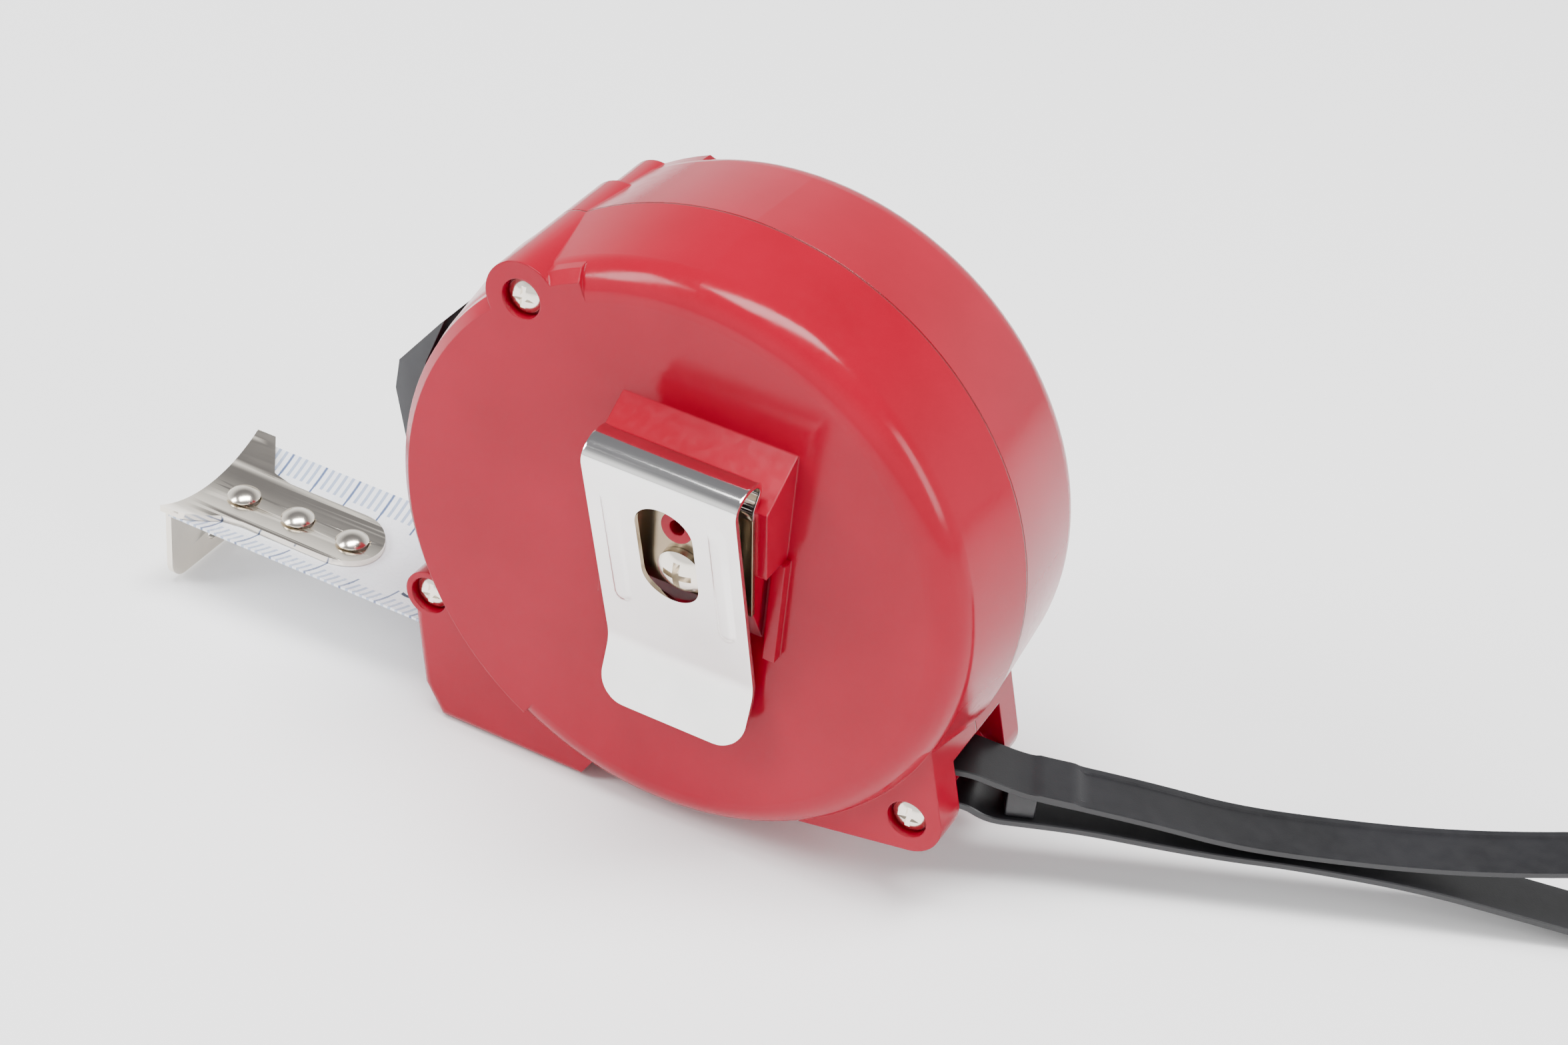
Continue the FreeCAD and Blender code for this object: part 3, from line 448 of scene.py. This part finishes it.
def add_strap():
    """A moulded band: plain at the lug, a raised bridge, then a shallow channel between two rims."""
    line = strap_line()
    vertices, faces = [], []
    run, runs = 0.0, [0.0]
    for a, b in zip(line, line[1:]):
        run += (b - a).length
        runs.append(run)
    for i, here in enumerate(line):
        ahead, behind = line[min(i + 1, len(line) - 1)], line[max(i - 1, 0)]
        along = (ahead - behind).normalized()
        out = Vector((-along.y, along.x))
        far = smooth_step(20.6, 21.2, runs[i]) * (1 - smooth_step(run - 18.0, run - 17.4, runs[i]))
        raised = smooth_step(15.2, 15.8, runs[i]) * (1 - smooth_step(20.2, 20.8, runs[i]))
        top, dip = 0.45 + 0.22 * raised, 0.20 * far
        section = [(-3.38, -0.45), (3.38, -0.45), (3.5, -0.33), (3.5, top - 0.12), (3.38, top), (2.66, top),
                   (2.48, top - dip), (-2.48, top - dip), (-2.66, top), (-3.38, top), (-3.5, top - 0.12),
                   (-3.5, -0.33)]
        for w, t in section:
            place = here + out * t
            vertices.append(strap_point(place.x, w, place.y))
    count = len(section)
    for i in range(len(line) - 1):
        for k in range(count):
            n = (k + 1) % count
            faces.append((i * count + k, i * count + n, (i + 1) * count + n, (i + 1) * count + k))
    faces += [tuple(range(count))[::-1], tuple(range(len(vertices) - count, len(vertices)))]
    strap = new_piece("wrist_strap_band", vertices, faces, VINYL, "case", "wrist_strap", 28)

    corners = [(u, w, z) for u in (6.8, 10.3) for w in (-2.9, 2.9) for z in (-3.75, 0.0)]
    slope = {6.8: 0.15, 10.3: -0.45}
    block = [strap_point(u, w, slope[u] if z == 0.0 else z) for u, w, z in corners]
    quads = [(0, 1, 3, 2), (4, 6, 7, 5), (0, 4, 5, 1), (2, 3, 7, 6), (0, 2, 6, 4), (1, 5, 7, 3)]
    mesh = bpy.data.meshes.new("strap_bridge")
    mesh.from_pydata([v * MM for v in block], [], quads)
    bridge = bpy.data.objects.new("strap_bridge", mesh)
    bevel(bridge, 0.3, 30, 3)
    apply_modifiers(bridge)
    finish_piece(bridge, VINYL, "case", "strap_keeper")


# ---------------------------------------------------------------- belt clip
CLIP_X, CLIP_HALF, CLIP_T = 3.5, 9.05, 0.6
LIP_CORNER = 3.4
RIB_RISE = 0.3
CLIP_DEPTHS = (-30, -10)
RIBS = ((-2.75, 34.0, 49.6), (10.0, 34.1, 49.7))


def clip_sheet(name, line, lip_corner):
    """Part of the clip's strip: rows across it along a side view line, with its pressed ribs."""
    line = filled_in(line, 0.45)
    if lip_corner:
        first = line[0]
        line = [first.lerp(line[1], k) for k in (0.0, 0.12, 0.35, 0.65)] + line[1:]
    columns = 84
    vertices, faces, run = [], [], 0.0
    for i, here in enumerate(line):
        if i:
            run += (here - line[i - 1]).length
        along = (line[min(i + 1, len(line) - 1)] - line[max(i - 1, 0)]).normalized()
        out = Vector((-along.y, along.x))
        half = CLIP_HALF
        if lip_corner and run < LIP_CORNER:
            half += math.sqrt(LIP_CORNER ** 2 - (LIP_CORNER - run) ** 2) - LIP_CORNER
        for k in range(columns + 1):
            x = CLIP_X + half * (2 * k / columns - 1)
            rise = 0.0
            for rib_x, low, high in RIBS:
                away = math.hypot(x - rib_x, here.y - min(max(here.y, low), high))
                if run < 42:
                    rise = max(rise, RIB_RISE * (1 - smooth_step(0.55, 1.0, away)))
            place = here + out * rise
            vertices.append((x, place.x, place.y))
    width = columns + 1
    for i in range(len(line) - 1):
        for k in range(columns):
            a = i * width + k
            faces.append((a, a + 1, a + width + 1, a + width))
    mesh = bpy.data.meshes.new(name)
    mesh.from_pydata([Vector(v) * MM for v in vertices], [], faces)
    piece = bpy.data.objects.new(name, mesh)
    thick = piece.modifiers.new("thick", "SOLIDIFY")
    thick.thickness = CLIP_T * MM
    thick.offset = 0
    bevel(piece, 0.09, 60, 2)
    apply_modifiers(piece)
    return piece


def circle_outline(x, z, radius, count=40):
    """Points round a circle in (X, Z)."""
    return [(x + radius * math.cos(2 * math.pi * k / count), z + radius * math.sin(2 * math.pi * k / count))
            for k in range(count)]


def half_circle(x, z, radius, start, steps=32):
    """Points round half a circle in (X, Z) from an angle, with both of its ends."""
    angles = [start + math.pi * k / steps for k in range(steps + 1)]
    return [(x + radius * math.cos(angle), z + radius * math.sin(angle)) for angle in angles]


def add_clip():
    """The folded steel clip: sprung leg with its window and ribs, bulbed fold and base plate."""
    leg = [(-16.2, 17.8), (-14.3, 25.1), (-23.6, 54.2), (-22.6, 55.4), (-21.0, 55.9), (-19.0, 55.6),
           (-18.1, 54.3), (-19.45, 52.2), (-19.27, 51.2)]
    spring = clip_sheet("belt_clip_leg", rounded_line(leg, (1.6, 1.0, 0.8, 1.0, 1.0, 0.9, 1.0)), True)
    x, low, high, radius = 3.6, 39.7, 47.1, 3.45
    window = half_circle(x, high, radius, 0) + half_circle(x, low, radius, math.pi)
    cut_with(spring, window, *CLIP_DEPTHS)
    base = clip_sheet("belt_clip_base", [Vector((-19.27, 51.2)), Vector((-16.83, 37.3))], False)
    cut_with(base, circle_outline(4.3, 47.2, 2.1), *CLIP_DEPTHS)
    cut_with(base, circle_outline(4.3, 40.9, 1.6), *CLIP_DEPTHS)
    # The base plate takes the dark painted-shade steel instead of chrome.
    finish_piece(base, CLIP_BASE_PAINTED_SHADE, "case", None)
    finish_piece(spring, CHROME, "case", "belt_clip")


# ---------------------------------------------------------------- lock button
def add_button():
    """The thumb button: a sloping dished top, an upright front and a chamfer underneath."""
    side = [(-34.7, 49.6), (-39.9, 42.9), (-40.3, 39.0), (-38.6, 32.2), (-37.4, 32.2), (-37.15, 38.0),
            (-36.3, 44.0), (-34.0, 50.4)]
    around = []
    for a, b in zip(side, side[1:] + side[:1]):
        parts = 12 if a == side[0] else 3
        around += [(a[0] + (b[0] - a[0]) * k / parts, a[1] + (b[1] - a[1]) * k / parts) for k in range(parts)]
    slices = [-5.2 + 10.4 * k / 24 for k in range(25)]
    facet = Vector((side[1][0] - side[0][0], side[1][1] - side[0][1]))
    inward = Vector((-facet.y, facet.x)).normalized()
    vertices = []
    for y in slices:
        for k, (x, z) in enumerate(around):
            depth = 0.0
            if k < 12:
                t = 2 * k / 12 - 1
                depth = 0.75 * max(0.0, 1 - t * t) * max(0.0, 1 - (y / 4.3) ** 2)
            vertices.append((x + inward.x * depth, y, z + inward.y * depth))
    count = len(around)
    faces = []
    for i in range(len(slices) - 1):
        for k in range(count):
            n = (k + 1) % count
            faces.append((i * count + k, i * count + n, (i + 1) * count + n, (i + 1) * count + k))
    faces += [tuple(range(count)), tuple(range(len(vertices) - count, len(vertices)))[::-1]]
    neck = [(-38.2, 38.6), (-38.0, 42.6), (-29.6, 41.2), (-29.8, 34.4), (-31.9, 34.4), (-31.9, 37.9)]
    start = len(vertices)
    for y in (-3.4, 3.4):
        vertices += [(x, y, z) for x, z in neck]
    size = len(neck)
    faces += [(start + k, start + (k + 1) % size, start + (k + 1) % size + size, start + k + size)
              for k in range(size)]
    faces += [tuple(range(start, start + size)), tuple(range(start + size, start + 2 * size))[::-1]]
    mesh = bpy.data.meshes.new("thumb_button")
    mesh.from_pydata([Vector(v) * MM for v in vertices], [], faces)
    button = bpy.data.objects.new("thumb_button", mesh)
    outward(mesh)
    bevel(button, 0.35, 32, 3)
    apply_modifiers(button)
    finish_piece(button, BLACK, "button", "lock_button")


# ---------------------------------------------------------------- hook, rivets and scale digits
def softened_copy(node, name, width, finish, body):
    """A copy of a CAD node with small rounded edges, which stands for it."""
    piece = bpy.data.objects.new(name, NODES[node].data.copy())
    edit = bmesh.new()
    edit.from_mesh(piece.data)
    bmesh.ops.remove_doubles(edit, verts=edit.verts, dist=0.002 * MM)
    bmesh.ops.dissolve_limit(edit, angle_limit=math.radians(0.5), verts=edit.verts, edges=edit.edges)
    edit.to_mesh(piece.data)
    edit.free()
    bevel(piece, width, 35, 3)
    apply_modifiers(piece)
    finish_piece(piece, finish, body, node, 30)


def add_digits():
    """Plain scale numbers printed on the blade, following its cup."""
    sag, thick, edge_z = 2.2, 0.3, 11.0
    cup = (BLADE_HALF ** 2 + sag ** 2) / (2 * sag)
    centre = edge_z - sag + cup
    for digit, x in (("3", -38.0), ("4", -28.2)):
        text = bpy.data.curves.new("digit", "FONT")
        text.body = digit
        text.size = 6.2 * MM
        text.align_x = "CENTER"
        text.resolution_u = 6
        holder = bpy.data.objects.new("digit", text)
        scene.collection.objects.link(holder)
        bpy.context.view_layer.update()
        mesh = bpy.data.meshes.new_from_object(holder)
        bpy.data.objects.remove(holder)
        edit = bmesh.new()
        edit.from_mesh(mesh)
        bmesh.ops.triangulate(edit, faces=edit.faces)
        bmesh.ops.subdivide_edges(edit, edges=[e for e in edit.edges if e.calc_length() > 0.5 * MM], cuts=4)
        edit.to_mesh(mesh)
        edit.free()
        for v in mesh.vertices:
            px, py = x + v.co.x / MM, -5.0 + v.co.y / MM
            v.co = mm(px, py, centre - math.sqrt((cup - thick) ** 2 - py ** 2) + 0.015)
        piece = bpy.data.objects.new(f"scale_digit_{digit}", mesh)
        finish_piece(piece, INK, "blade", None)


add_strap()
add_clip()
add_button()
softened_copy("end_hook", "end_hook_plate", 0.14, NICKEL, "hook")
softened_copy("hook_rivets", "hook_rivet_heads", 0.16, NICKEL, "blade")
add_digits()
